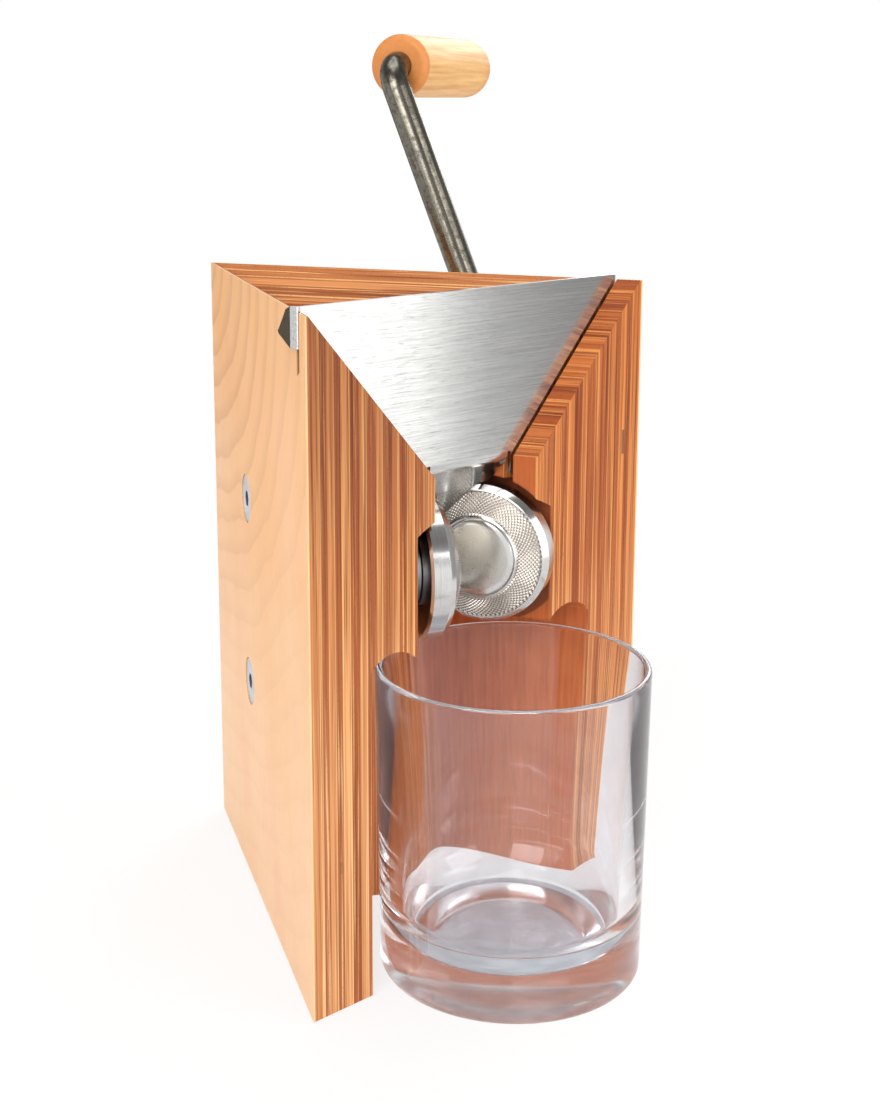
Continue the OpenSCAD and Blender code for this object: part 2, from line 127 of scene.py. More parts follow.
def set_stops(node, stops):
    """Give a colour ramp its stops: (position, colour) pairs in rising order."""
    elements = node.color_ramp.elements
    while len(elements) < len(stops):
        elements.new(1.0)
    for element, (position, _) in zip(elements, stops):
        element.position = position
    for element, (_, colour) in zip(elements, stops):
        element.color = (*colour, 1)


class Paint:
    """One Principled material and short calls for its nodes."""

    def __init__(self, name, **constants):
        self.material = bpy.data.materials.new(name)
        self.material.use_nodes = True
        self.tree = self.material.node_tree
        self.bsdf = self.tree.nodes["Principled BSDF"]
        for socket, value in constants.items():
            self.bsdf.inputs[socket.replace("_", " ")].default_value = value

    def node(self, kind, *inputs, **settings):
        """New node. Inputs are in the order of its sockets, and None leaves a socket as it is."""
        made = self.tree.nodes.new("ShaderNode" + kind)
        for name, value in settings.items():
            setattr(made, name, value)
        for index, value in enumerate(inputs):
            if value is not None:
                self.feed(made.inputs[index], value)
        return made

    def feed(self, socket, value):
        """Link a socket to another one, or set its constant."""
        if isinstance(value, bpy.types.NodeSocket):
            self.tree.links.new(value, socket)
        else:
            socket.default_value = value

    def math(self, operation, *values):
        return self.node("Math", *values, operation=operation).outputs[0]

    def product(self, *values):
        total = values[0]
        for value in values[1:]:
            total = self.math("MULTIPLY", total, value)
        return total

    def vector(self, operation, *values):
        made = self.node("VectorMath", *values, operation=operation)
        return made.outputs["Value" if operation in ("DOT_PRODUCT", "LENGTH") else "Vector"]

    def join(self, x, y, z):
        return self.node("CombineXYZ", x, y, z).outputs[0]

    def place(self):
        """Point on the object, in millimetres in the frame."""
        point = self.node("TexCoord").outputs["Object"]
        return self.node("VectorMath", point, None, None, 1 / MM, operation="SCALE").outputs[0]

    def facing(self, direction):
        """How squarely the surface faces along a direction of the object, either way."""
        normal = self.node("TexCoord").outputs["Normal"]
        return self.math("ABSOLUTE", self.vector("DOT_PRODUCT", normal, tuple(direction)))

    def along(self, point, direction, origin=(0, 0, 0)):
        """Distance of a point from origin along a direction, in millimetres."""
        start = Vector(origin).dot(Vector(direction))
        return self.math("SUBTRACT", self.vector("DOT_PRODUCT", point, tuple(direction)), start)

    def radius(self, point, axis, origin):
        """Distance of a point from an axis, in millimetres."""
        axis = Vector(axis).normalized()
        side = axis.orthogonal().normalized()
        start = Vector(origin) / MM
        flat = self.join(self.along(point, side, start), self.along(point, axis.cross(side), start), 0.0)
        return self.vector("LENGTH", flat)

    def stretched(self, point, *factors):
        return self.vector("MULTIPLY", point, factors)

    def noise(self, vector, scale, detail=3.0, rough=0.5):
        made = self.node("TexNoise")
        self.feed(made.inputs["Vector"], vector)
        for name, value in (("Scale", scale), ("Detail", detail), ("Roughness", rough)):
            made.inputs[name].default_value = value
        return made.outputs["Fac"]

    def remap(self, value, low, high, to_low=0.0, to_high=1.0, smooth=False):
        """Value between low and high brought to between to_low and to_high, and held there."""
        made = self.node("MapRange", value, low, high, to_low, to_high)
        if smooth:
            made.interpolation_type = "SMOOTHSTEP"
        return made.outputs[0]

    def ramp(self, value, stops, mode="LINEAR"):
        made = self.node("ValToRGB", value)
        made.color_ramp.interpolation = mode
        set_stops(made, stops)
        return made.outputs["Color"]

    def mix(self, factor, first, second, blend="MIX"):
        made = self.node("Mix", data_type="RGBA", blend_type=blend)
        sockets = [s for s in made.inputs if s.enabled]
        for socket, value in zip(sockets, (factor, first, second)):
            if isinstance(value, tuple) and len(value) == 3:
                value = (*value, 1)
            self.feed(socket, value)
        return next(s for s in made.outputs if s.enabled)

    def bump(self, height, distance_mm, strength=1.0):
        made = self.node("Bump")
        made.inputs["Strength"].default_value = strength
        made.inputs["Distance"].default_value = distance_mm * MM
        self.feed(made.inputs["Height"], height)
        self.tree.links.new(made.outputs[0], self.bsdf.inputs["Normal"])

    def colour(self, value):
        self.feed(self.bsdf.inputs["Base Color"], value)

    def rough(self, value):
        self.feed(self.bsdf.inputs["Roughness"], value)


# ---- Turned wood ----

BEECH_FLECK = srgb(190, 120, 62)
GRIP_LIGHT, GRIP_DARK, GRIP_END = srgb(232, 184, 112), srgb(212, 150, 80), srgb(206, 126, 64)
DOWEL_LIGHT, DOWEL_DARK, DOWEL_END = srgb(236, 196, 148), srgb(214, 166, 116), srgb(200, 150, 100)


def ends_along(node, origin, axis):
    """Lowest and highest place of a node along an axis, in millimetres."""
    places = [(vertex.co - origin).dot(axis) / MM for vertex in frame["nodes"][node].data.vertices]
    return min(places), max(places)


def turned_wood_paint(name, node, axis, origin, light, dark, end_tone):
    """Turned beech with its grain along an axis, for a node, darker at both of its ends."""
    low_end, high_end = ends_along(node, origin, axis)
    paint = Paint(name, Coat_Weight=0.04, Coat_Roughness=0.3, Specular_IOR_Level=0.25)
    point = paint.place()
    side = axis.cross(UP).normalized()
    start = origin / MM
    a = paint.along(point, axis, start)
    b = paint.along(point, side, start)
    c = paint.along(point, side.cross(axis).normalized(), start)
    fibres = paint.join(b, c, paint.product(a, 0.05))
    streak = paint.noise(fibres, 0.55, 4.0, 0.6)
    fleck = paint.noise(paint.join(b, c, paint.product(a, 0.25)), 2.4, 2.0, 0.7)
    wood = paint.mix(paint.remap(streak, 0.35, 0.68), light, dark)
    wood = paint.mix(paint.remap(fleck, 0.6, 0.75, 0.0, 0.35), wood, BEECH_FLECK)
    near = paint.remap(a, low_end + 1.6, low_end + 3.4, 0.85, 0.0, smooth=True)
    wood = paint.mix(near, wood, end_tone)
    far_end = paint.remap(a, high_end - 14.0, high_end - 1.0, 0.0, 0.65, smooth=True)
    wood = paint.mix(far_end, wood, end_tone)
    paint.colour(wood)
    paint.rough(paint.remap(streak, 0.3, 0.7, 0.36, 0.5))
    paint.bump(fleck, 0.1, 0.3)
    return paint.material


# ---- Laminated wood ----
# u runs along a board from its front edge, n inward from its outer face, z upward

BOARD_T = 44.0
THROAT_Z = 160.0
POCKET_R = 25.1
# Ply thicknesses from the outer face inward. The first one's grain is upright, the next one's
# runs along the board, and so on in turn
PLIES = (4.4, 1.9, 2.7, 1.9, 3.3, 2.8, 2.8, 2.8, 2.8, 2.8, 2.9, 2.4, 3.2, 2.5, 4.8)
GLUE_W = 0.16
# Tone of each ply's cut at the front, from dark to light
LEFT_TONES = (0.5, 0.2, 0.62, 0.14, 0.82, 0.05, 0.52, 0.12, 0.6, 0.28, 0.42, 0.08, 0.8, 0.2, 0.5)
RIGHT_TONES = (0.62, 0.3, 0.85, 0.34, 0.56, 0.18, 0.5, 0.24, 0.46, 0.1, 0.72, 0.4, 0.92, 0.3, 0.56)
LIGHT_PLY = srgb(252, 188, 128)
DARK_PLY = srgb(152, 70, 26)
STREAK_SOFT = srgb(194, 112, 54)
STREAK_DARK = srgb(118, 56, 24)
STREAK_BRIGHT = srgb(254, 202, 144)
GLUE = srgb(132, 66, 36)
# How much slower the streaks change along a ply than across it
STREAK_STRETCH = 0.007
SLOPE_DARK = srgb(142, 72, 38)
SLOPE_LIGHT = srgb(232, 160, 106)
VENEER_EDGE = srgb(255, 208, 154)
INSIDE = srgb(208, 122, 72)
INSIDE_STREAK = srgb(176, 94, 50)
# Painted shade for the roller pockets and the gaps in the plies
SHADE_BROWN = srgb(62, 34, 20)
FACE_TOP = srgb(238, 180, 122)
FACE_LOW = srgb(247, 204, 162)
FACE_PINK = srgb(244, 188, 150)
FACE_LATE = srgb(200, 144, 98)
FACE_FLECK = srgb(190, 132, 90)
# Growth rings of the outer faces, and where they centre along the board and upward
RING_PITCH = 16.0
RING_STRETCH = 1.35
RING_WAVE = 30.0
LEFT_FIGURE = (176, 226)
RIGHT_FIGURE = (60, 300)
# Gaps in the plies at the front, painted dark as the shade inside them: depth from the outer face, lower
# end and upper end
LEFT_SLITS = ((10.25, 44.0, 48.5),)
RIGHT_SLITS = ((7.1, 155.2, 163.9), (24.8, 144.0, 145.4))
# Painted shade: the cut edges darken towards the top, most of all near the hopper, as factors from the
# foot to the top
LEFT_TOP_SHADE = (
    (0.0, (0.96, 0.98, 0.97)),
    (0.3, (0.95, 0.95, 0.92)),
    (0.6, (0.8, 0.7, 0.54)),
    (1.0, (0.46, 0.32, 0.19)),
)
RIGHT_TOP_SHADE = (
    (0.0, (0.95, 0.89, 0.85)),
    (0.3, (0.9, 0.81, 0.74)),
    (0.6, (0.77, 0.56, 0.36)),
    (1.0, (0.66, 0.41, 0.19)),
)
# Milder, warmer factor that takes the place of the painted shade on the hopper slopes
HOPPER_TINT = (0.96, 0.94, 0.8)


def ply_maps(paint, n, tones):
    """Per ply whether its fibres run along the board, its tone and its number, then thin lines.

    The lines are the glue between the plies and a bright stripe beside every second one.
    """
    share = paint.math("DIVIDE", n, BOARD_T)
    kinds, glue_lines, bright_lines = [], [(0.0, grey(0))], [(0.0, grey(0))]
    depth = 0.0
    for index, (thickness, tone) in enumerate(zip(PLIES, tones)):
        kinds.append((depth / BOARD_T, (index % 2, tone, index / len(PLIES))))
        depth += thickness
        if index < len(PLIES) - 1:
            glue_lines.append(((depth - GLUE_W) / BOARD_T, grey(1)))
            glue_lines.append(((depth + GLUE_W) / BOARD_T, grey(0)))
        if index % 2 == 0:
            bright_lines.append(((depth - 3 * GLUE_W) / BOARD_T, grey(1)))
            bright_lines.append(((depth - GLUE_W) / BOARD_T, grey(0)))
    kind = paint.ramp(share, kinds, "CONSTANT")
    crossed, tone, number = paint.node("SeparateColor", kind).outputs
    glue = paint.ramp(share, glue_lines, "CONSTANT")
    bright = paint.ramp(share, bright_lines, "CONSTANT")
    return crossed, tone, number, glue, bright


def slit(paint, u, n, z, depth, low, high):
    """Mask of a gap in a ply, open at the front face."""
    off_n = paint.math("ABSOLUTE", paint.math("SUBTRACT", n, depth))
    off_z = paint.math("ABSOLUTE", paint.math("SUBTRACT", z, (low + high) / 2))
    half = (high - low) / 2
    narrow = paint.remap(off_n, 0.42, 0.66, 1.0, 0.0, smooth=True)
    long = paint.remap(off_z, half - 0.5, half, 1.0, 0.0, smooth=True)
    at_front = paint.remap(u, 2.0, 6.0, 1.0, 0.0)
    return paint.product(narrow, long, at_front)


def outer_face(paint, u, n, z, figure_u, figure_z):
    """Face of the outer veneer: pale flat-sawn figure whose rings centre on figure_u, figure_z."""
    spot = paint.join(u, n, z)
    warp = paint.noise(paint.stretched(spot, 0.016, 0.016, 0.011), 1.0, 3.0, 0.5)
    patch = paint.noise(paint.stretched(spot, 0.022, 0.022, 0.012), 1.0, 2.0)
    blush = paint.noise(paint.stretched(spot, 0.03, 0.03, 0.015), 1.0, 2.0, 0.6)
    hair = paint.noise(paint.stretched(spot, 1.0, 1.0, 0.03), 1.7, 3.0, 0.65)
    fleck = paint.noise(paint.stretched(spot, 1.0, 1.0, 0.16), 2.4, 1.0, 0.5)

    # Growth rings, paler further from their centre
    ring_u = paint.math("SUBTRACT", u, figure_u)
    ring_z = paint.product(paint.math("SUBTRACT", z, figure_z), RING_STRETCH)
    radius = paint.vector("LENGTH", paint.join(ring_u, ring_z, 0.0))
    wavy = paint.math("ADD", radius, paint.product(warp, RING_WAVE))
    ring = paint.math("FRACT", paint.math("DIVIDE", wavy, RING_PITCH))
    late = paint.ramp(ring, (
        (0.0, grey(0.1)),
        (0.45, grey(0.12)),
        (0.82, grey(0.8)),
        (0.92, grey(1)),
        (1.0, grey(0.1)),
    ))
    fade = paint.remap(radius, 90.0, 210.0, 0.5, 0.08)

    # Painted shade: darker and yellower towards the top
    downward = paint.remap(z, HEIGHT / MM, 30.0, 0.0, 0.85)
    drift = paint.math("ADD", downward, paint.remap(patch, 0.3, 0.7, -0.2, 0.25))
    face = paint.mix(paint.remap(drift, 0.0, 1.0), FACE_TOP, FACE_LOW)
    face = paint.mix(paint.remap(blush, 0.5, 0.72, 0.0, 0.55), face, FACE_PINK)
    face = paint.mix(paint.product(late, fade), face, FACE_LATE)
    face = paint.mix(paint.remap(hair, 0.5, 0.75, 0.0, 0.2), face, FACE_LATE)
    return paint.mix(paint.remap(fleck, 0.66, 0.76, 0.0, 0.35), face, FACE_FLECK)


def board_paint(name, side, tones, top_shade, figure, slits):
    """Laminated board. side is 1 for the right board and -1 for the left one."""
    paint = Paint(name, Coat_Weight=0.03, Coat_Roughness=0.3, Specular_IOR_Level=0.25)
    edge = (side * HALF_W / MM, FRONT_Y / MM, 0)
    back = Vector((-side * SIN, COS, 0))
    inward = Vector((-side * COS, -SIN, 0))
    point = paint.place()
    u = paint.along(point, back, edge)
    n = paint.along(point, inward, edge)
    z = paint.along(point, UP)
    y = paint.along(point, (0, 1, 0), (0, FRONT_Y / MM, 0))
    faces_z, faces_u, faces_n = paint.facing(UP), paint.facing(back), paint.facing(inward)
    crossed, tone, number, glue, bright = ply_maps(paint, n, tones)

    # How far the surface cuts across the fibres of its ply
    upright = paint.math("SUBTRACT", 1.0, crossed)
    across = paint.math("ADD", paint.product(faces_z, upright), paint.product(faces_u, crossed))
    across = paint.remap(across, 0.15, 0.7, smooth=True)
    steep = paint.remap(faces_z, 0.35, 0.55)
    sloped = paint.product(steep, paint.remap(faces_z, 0.75, 0.95, 1.0, 0.0))

    # Streaks run along the glue lines and drift slowly along the ply
    ply_start = paint.math("ADD", n, paint.product(number, 37.0))
    drift = paint.join(ply_start, paint.product(z, STREAK_STRETCH), paint.product(u, STREAK_STRETCH))
    soft = paint.noise(drift, 0.62, 3.0, 0.55)
    dark = paint.noise(drift, 1.3, 3.0, 0.65)
    thin = paint.noise(paint.vector("ADD", drift, (13.0, 5.0, 9.0)), 1.7, 3.0, 0.6)
    cut = paint.mix(sloped, paint.mix(tone, DARK_PLY, LIGHT_PLY), paint.mix(tone, SLOPE_LIGHT, SLOPE_DARK))
    cut = paint.mix(paint.remap(soft, 0.42, 0.62, 0.0, 0.6), cut, STREAK_SOFT)
    cut = paint.mix(paint.remap(dark, 0.5, 0.64, 0.0, 0.8), cut, STREAK_DARK)
    cut = paint.mix(paint.remap(thin, 0.53, 0.66, 0.0, 0.8), cut, STREAK_BRIGHT)
    cut = paint.mix(paint.product(bright, 0.5), cut, STREAK_BRIGHT)
    cut = paint.mix(paint.product(glue, 0.5), cut, GLUE)

    # End grain shows short pores
    pores = paint.noise(paint.stretched(point, 1.0, 1.0, 0.5), 1.5, 2.0, 0.7)
    cut = paint.mix(paint.product(across, paint.remap(pores, 0.56, 0.72, 0.0, 0.4)), cut, STREAK_DARK)

    # Routed surfaces inside the housing: the inner plies' own face with painted shade, darker and redder,
    # and the darkest painted shade in the roller pockets
    below_throat = paint.remap(z, THROAT_Z, THROAT_Z + 0.6, 1.0, 0.0)
    deep = paint.product(paint.remap(y, 0.3, 0.6), paint.remap(n, 0.5, 0.8), below_throat)
    inner_hair = paint.noise(paint.join(u, n, paint.product(z, 0.05)), 0.8, 4.0, 0.65)
    inner = paint.mix(paint.remap(inner_hair, 0.35, 0.7), INSIDE, INSIDE_STREAK)
    inner = paint.mix(paint.remap(faces_n, 0.5, 0.9, 0.35, 0.85), cut, inner)
    # Painted shade in the roller pockets
    shaft = paint.radius(point, RIGHT_AXIS if side > 0 else LEFT_AXIS, APEX)
    round_shaft = paint.remap(shaft, POCKET_R, POCKET_R + 0.6, 1.0, 0.0)
    pocket = paint.product(round_shaft, paint.remap(n, 3.0, 4.0))
    inner = paint.mix(paint.product(pocket, 0.6), inner, SHADE_BROWN)
    wood = paint.mix(deep, cut, inner)

    # Painted shade: the cut edges darken towards the top, and the hopper slopes take the milder factor
    in_hopper = paint.product(sloped, paint.remap(y, 12.0, 14.0))
    edge_shade = paint.ramp(paint.math("DIVIDE", z, HEIGHT / MM), top_shade)
    wood = paint.mix(1.0, wood, paint.mix(in_hopper, edge_shade, HOPPER_TINT), "MULTIPLY")

    # Outer veneer: its face, and its bright edge, a painted highlight along the corner
    face = outer_face(paint, u, n, z, *figure)
    at_skin = paint.remap(n, 0.3, 0.4, 1.0, 0.0)
    on_face = paint.product(paint.remap(faces_n, 0.93, 0.985), at_skin)
    veneer_edge = paint.remap(n, 0.35, 0.7, 0.8, 0.0)
    wood = paint.mix(veneer_edge, wood, VENEER_EDGE)
    wood = paint.mix(on_face, wood, face)
    # The gaps in the plies get painted shade
    for depth, low, high in slits:
        wood = paint.mix(slit(paint, u, n, z, depth, low, high), wood, SHADE_BROWN)
    paint.colour(wood)
    paint.rough(paint.remap(dark, 0.3, 0.7, 0.4, 0.58))
    relief = paint.math("ADD", paint.product(dark, 0.5), paint.product(pores, 0.3))
    paint.bump(relief, 0.14, 0.35)
    return paint.material


# ---- Metal and glass ----

ROD_GREY = (130, 125, 113)
AXLE_GREY = (150, 148, 144)
SCREW_ZINC = (206, 206, 212)
GRIP_SCREW_ZINC = (190, 193, 200)
WASHER_GREY = (168, 170, 174)
BLACKENED = (74, 76, 80)
BRONZE = (196, 148, 92)
PLATE_DARK, PLATE_LIGHT = srgb(188, 188, 186), srgb(212, 212, 210)
PLATE_DASH, PLATE_CLOUD = srgb(140, 139, 136), srgb(186, 184, 180)
ROLLER_DARK, ROLLER_LIGHT = srgb(206, 204, 201), srgb(225, 224, 222)
HUB_TONE, KNURL_TONE, STAIN_TONE = srgb(200, 195, 186), srgb(194, 188, 181), srgb(160, 155, 148)
GLASS_CLEAR, GLASS_SMUDGE = srgb(246, 245, 247), srgb(240, 238, 241)
GLASS_DEEP = srgb(238, 250, 253)
FOOT_PALE, FOOT_DARK = srgb(168, 176, 188), srgb(134, 142, 152)


def plate_paint(name):
    """Stainless sheet with short brush dashes across it."""
    paint = Paint(name, Metallic=1.0)
    point = paint.place()
    x = paint.along(point, (1, 0, 0))
    y = paint.along(point, (0, 1, 0))
    z = paint.along(point, UP)
    dashes = paint.noise(paint.join(paint.product(x, 0.09), y, z), 2.1, 3.0, 0.65)
    long_lines = paint.noise(paint.join(paint.product(x, 0.012), y, z), 3.2, 3.0, 0.7)
    cloud = paint.noise(point, 0.03, 2.0)
    tone = paint.mix(paint.remap(long_lines, 0.35, 0.65), PLATE_DARK, PLATE_LIGHT)
    tone = paint.mix(paint.remap(dashes, 0.56, 0.74, 0.0, 0.6), tone, PLATE_DASH)
    tone = paint.mix(paint.remap(cloud, 0.35, 0.7, 0.0, 0.3), tone, PLATE_CLOUD)
    paint.colour(tone)
    paint.rough(paint.remap(dashes, 0.3, 0.7, 0.11, 0.2))
    paint.bump(long_lines, 0.02, 0.4)
    return paint.material


def drawn_metal_paint(name, colour, direction, roughness):
    """Drawn bar: streaks along its length and a mottled, slightly dull skin."""
    paint = Paint(name, Metallic=1.0)
    point = paint.place()
    side = direction.orthogonal().normalized()
    length = paint.product(paint.along(point, direction), 0.05)
    across = paint.along(point, side)
    lines = paint.join(length, across, paint.along(point, direction.cross(side)))
    streak = paint.noise(lines, 0.9, 4.0, 0.65)
    mottle = paint.noise(point, 0.5, 4.0, 0.7)
    tone = paint.mix(paint.remap(streak, 0.32, 0.68), shade(colour, 0.8), srgb(*colour))
    tone = paint.mix(paint.remap(mottle, 0.45, 0.65, 0.0, 0.7), tone, shade(colour, 0.5))
    paint.colour(tone)
    paint.rough(paint.remap(mottle, 0.3, 0.7, roughness - 0.08, roughness + 0.12))
    paint.bump(streak, 0.03, 0.35)
    return paint.material


def turned_metal_paint(name, colour, axis, origin, roughness):
    """Metal turned on a lathe: fine rings round its axis."""
    paint = Paint(name, Metallic=1.0)
    point = paint.place()
    radius = paint.radius(point, axis, origin)
    length = paint.along(point, axis, origin / MM)
    rings = paint.noise(paint.join(radius, length, 0.0), 2.2, 3.0, 0.7)
    stain = paint.noise(point, 0.12, 3.0, 0.6)
    tone = paint.mix(paint.remap(rings, 0.3, 0.7), shade(colour, 0.86), srgb(*colour))
    tone = paint.mix(paint.remap(stain, 0.45, 0.75, 0.0, 0.35), tone, shade(colour, 0.72))
    paint.colour(tone)
    paint.rough(paint.remap(stain, 0.3, 0.7, roughness - 0.04, roughness + 0.1))
    paint.bump(rings, 0.012, 0.4)
    return paint.material


def roller_paint(name, axis):
    """Roller: matte turned hub, plain metal in the knurl, polished rim."""
    paint = Paint(name, Metallic=1.0)
    point = paint.place()
    radius = paint.radius(point, axis, APEX)
    depth = paint.along(point, axis, APEX / MM)
    hub = paint.remap(radius, HUB_FLAT_R, HUB_FLAT_R + 0.3, 1.0, 0.0)
    knurl_outside = paint.remap(radius, KNURL_OUT, KNURL_OUT + 0.1, 1.0, 0.0)
    knurl = paint.product(paint.remap(radius, KNURL_IN - 0.2, KNURL_IN), knurl_outside)
    turning = paint.join(paint.product(radius, 1.6), paint.product(depth, 1.6), 0.0)
    rings = paint.noise(turning, 1.6, 3.0, 0.7)
    stain = paint.noise(point, 0.14, 3.0, 0.6)
    tone = paint.mix(paint.remap(rings, 0.3, 0.7), ROLLER_DARK, ROLLER_LIGHT)
    tone = paint.mix(paint.product(hub, 0.85), tone, HUB_TONE)
    tone = paint.mix(paint.product(knurl, 0.8), tone, KNURL_TONE)
    tone = paint.mix(paint.remap(stain, 0.5, 0.75, 0.0, 0.3), tone, STAIN_TONE)
    paint.colour(tone)
    rough = paint.math("ADD", paint.product(hub, 0.1), paint.product(knurl, 0.05))
    paint.rough(paint.math("ADD", rough, paint.remap(stain, 0.3, 0.7, 0.12, 0.2)))
    paint.bump(rings, 0.01, 0.4)
    return paint.material


def glass_paint(name):
    """Clear glass, faintly tinted in its thick base, with a grey and dull underside, a painted reflection
    of its surroundings.
    """
    paint = Paint(name, Transmission_Weight=1.0, IOR=1.5, Specular_IOR_Level=0.5)
    point = paint.place()
    z = paint.along(point, UP)
    smudge = paint.noise(point, 0.09, 3.0, 0.6)
    clear = paint.mix(paint.remap(smudge, 0.4, 0.7), GLASS_CLEAR, GLASS_SMUDGE)
    clear = paint.mix(paint.remap(z, GLASS_BASE, 0.8 * GLASS_BASE), clear, GLASS_DEEP)
    foot = paint.remap(z, GLASS_HOLLOW, GLASS_HOLLOW + 0.3, 1.0, 0.0)
    foot_tone = paint.mix(paint.remap(smudge, 0.35, 0.65), FOOT_PALE, FOOT_DARK)
    paint.colour(paint.mix(foot, clear, foot_tone))
    paint.feed(paint.bsdf.inputs["Transmission Weight"], paint.remap(foot, 0.0, 1.0, 1.0, 0.7))
    paint.rough(paint.remap(foot, 0.0, 1.0, 0.0, 0.12))
    return paint.material


# ---- Lathe-turned pieces ----


def arc(centre_r, centre_s, radius, start, end, steps):
    """Points of an arc in a lathe outline, angles in degrees."""
    turns = [math.radians(start + (end - start) * k / steps) for k in range(steps + 1)]
    return [(centre_r + radius * math.cos(t), centre_s + radius * math.sin(t)) for t in turns]


def lathe(name, rings, origin, axis, around, material):
    """Closed solid turned round an axis. A ring is (radius, place) or (radius, place, dip, parity).

    Every second point of a ring with a dip lies that much further along the axis. The faces fold
    along the lines between the sunk points, so that the raised ones become the tips of pyramids.
    """
    axis = axis.normalized()
    side = axis.orthogonal().normalized()
    up = axis.cross(side)
    verts, faces, sunk = [], [], []
    for radius, place, *knurl in rings:
        dip, parity = knurl if knurl else (0.0, 0)
        for k in range(around):
            turn = 2 * math.pi * k / around
            depth = dip if (k + parity) % 2 else 0.0
            out = side * math.cos(turn) + up * math.sin(turn)
            verts.append(origin + axis * ((place + depth) * MM) + out * (radius * MM))
            sunk.append(depth > 0.0)
    for row in range(len(rings) - 1):
        first = row * around
        for k in range(around):
            after = (k + 1) % around
            a, b, c, d = first + k, first + after, first + around + after, first + around + k
            if sunk[a] or sunk[c]:
                faces += [(a, b, c), (a, c, d)]
            elif sunk[b] or sunk[d]:
                faces += [(a, b, d), (b, c, d)]
            else:
                faces.append((a, b, c, d))
    last = (len(rings) - 1) * around
    faces.append(tuple(range(around))[::-1])
    faces.append(tuple(last + k for k in range(around)))
    mesh = bpy.data.meshes.new(name)
    mesh.from_pydata([tuple(v) for v in verts], [], faces)
    mesh.materials.append(material)
    mesh.validate()
    mesh.shade_smooth()
    mesh.set_sharp_from_angle(angle=math.radians(24))
    piece = bpy.data.objects.new(name, mesh)
    bpy.context.scene.collection.objects.link(piece)
    return piece


def take_over(piece, node, body):
    """Show a piece in place of a CAD node, on the same body."""
    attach(piece, body)
    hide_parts(node)


def roller_rings(bore_r):
    """Outline of a roller from the middle of its front to the bottom of its bore."""
    slope = math.tan(WEDGE)
    start = NIP_GAP / 2 / COS

    def cone(radius):
        return start + radius * slope

    hub_s = cone(HUB_R)
    back_s = cone(ROLLER_R) + RIM_W
    rings = [
        (END_DISC_R, hub_s),
        (HUB_FLAT_R, hub_s),
        (HUB_R - 0.3, hub_s + HUB_SLOPE),
        (HUB_R, hub_s + GROOVE + 0.1),
        (HUB_R + GROOVE, cone(HUB_R + GROOVE)),
    ]
    for row in range(KNURL_ROWS + 1):
        radius = KNURL_IN + (KNURL_OUT - KNURL_IN) * row / KNURL_ROWS
        edge = row in (0, KNURL_ROWS)
        rings.append((radius, cone(radius), 0.0 if edge else KNURL_DEPTH, row % 2))
    rings += [
        (ROLLER_R - RIM_EDGE, cone(ROLLER_R - RIM_EDGE)),
        (ROLLER_R - 0.25, cone(ROLLER_R) + RIM_EDGE - 0.5),
        (ROLLER_R, cone(ROLLER_R) + RIM_EDGE),
        (ROLLER_R, back_s - BACK_EDGE),
        (ROLLER_R - BACK_EDGE, back_s),
        (bore_r, back_s),
        (bore_r, back_s - BORE_DEPTH),
        (END_DISC_R, back_s - BORE_DEPTH),
    ]
    return rings


def glass_rings():
    """Outline of the glass from the middle of its underside round to the middle of its floor."""
    ring_r = GLASS_FOOT_R - GLASS_FOOT_ROUND - GLASS_RING_W
    bowl_z = GLASS_BASE + GLASS_FLOOR_ROUND
    bowl_r = GLASS_FOOT_R + (GLASS_R - GLASS_FOOT_R) * bowl_z / GLASS_H - GLASS_LOW_WALL
    lip = GLASS_WALL / 2
    underside = [
        (END_DISC_R, GLASS_HOLLOW),
        (ring_r - 4 * GLASS_HOLLOW, GLASS_HOLLOW),
        (ring_r - GLASS_HOLLOW, GLASS_HOLLOW / 2),
        (ring_r + GLASS_HOLLOW, 0.0),
    ]
    foot_r = GLASS_FOOT_R - GLASS_FOOT_ROUND
    foot = arc(foot_r, GLASS_FOOT_ROUND, GLASS_FOOT_ROUND, -90, 0, 12)
    rim = arc(GLASS_R - lip, GLASS_H - lip, lip, 0, 180, 16)
    bowl = arc(bowl_r - GLASS_FLOOR_ROUND, bowl_z, GLASS_FLOOR_ROUND, 0, -90, 32)
    return underside + foot + rim + bowl + [(END_DISC_R, GLASS_BASE)]


glass_low, glass_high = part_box("catch_glass")
glass_middle = (glass_low + glass_high) / 2
GLASS_CENTRE = Vector((glass_middle.x, glass_middle.y, 0))
GLASS_AROUND = 192

glass = lathe("smooth_glass", glass_rings(), GLASS_CENTRE, UP, GLASS_AROUND, glass_paint("clear_glass"))
# Light falls through the glass on the wood and the floor behind it
glass.visible_shadow = False
glass.visible_diffuse = False
take_over(glass, "catch_glass", "glass")
for name, body, axis, bore_r in (
    ("driven_roller", "crank", RIGHT_AXIS, DRIVEN_BORE_R),
    ("idler_roller", "idler", LEFT_AXIS, IDLER_BORE_R),
):
    steel = roller_paint(name + "_steel", axis)
    roller = lathe("knurled_" + name, roller_rings(bore_r), APEX, axis, 2 * KNURL_AROUND, steel)
    take_over(roller, name, body)

# ---- Finishes on the CAD nodes ----


def dress(material, *nodes):
    """Give CAD nodes a material."""
    for node in nodes:
        mesh = frame["nodes"][node].data
        mesh.materials.clear()
        mesh.materials.append(material)


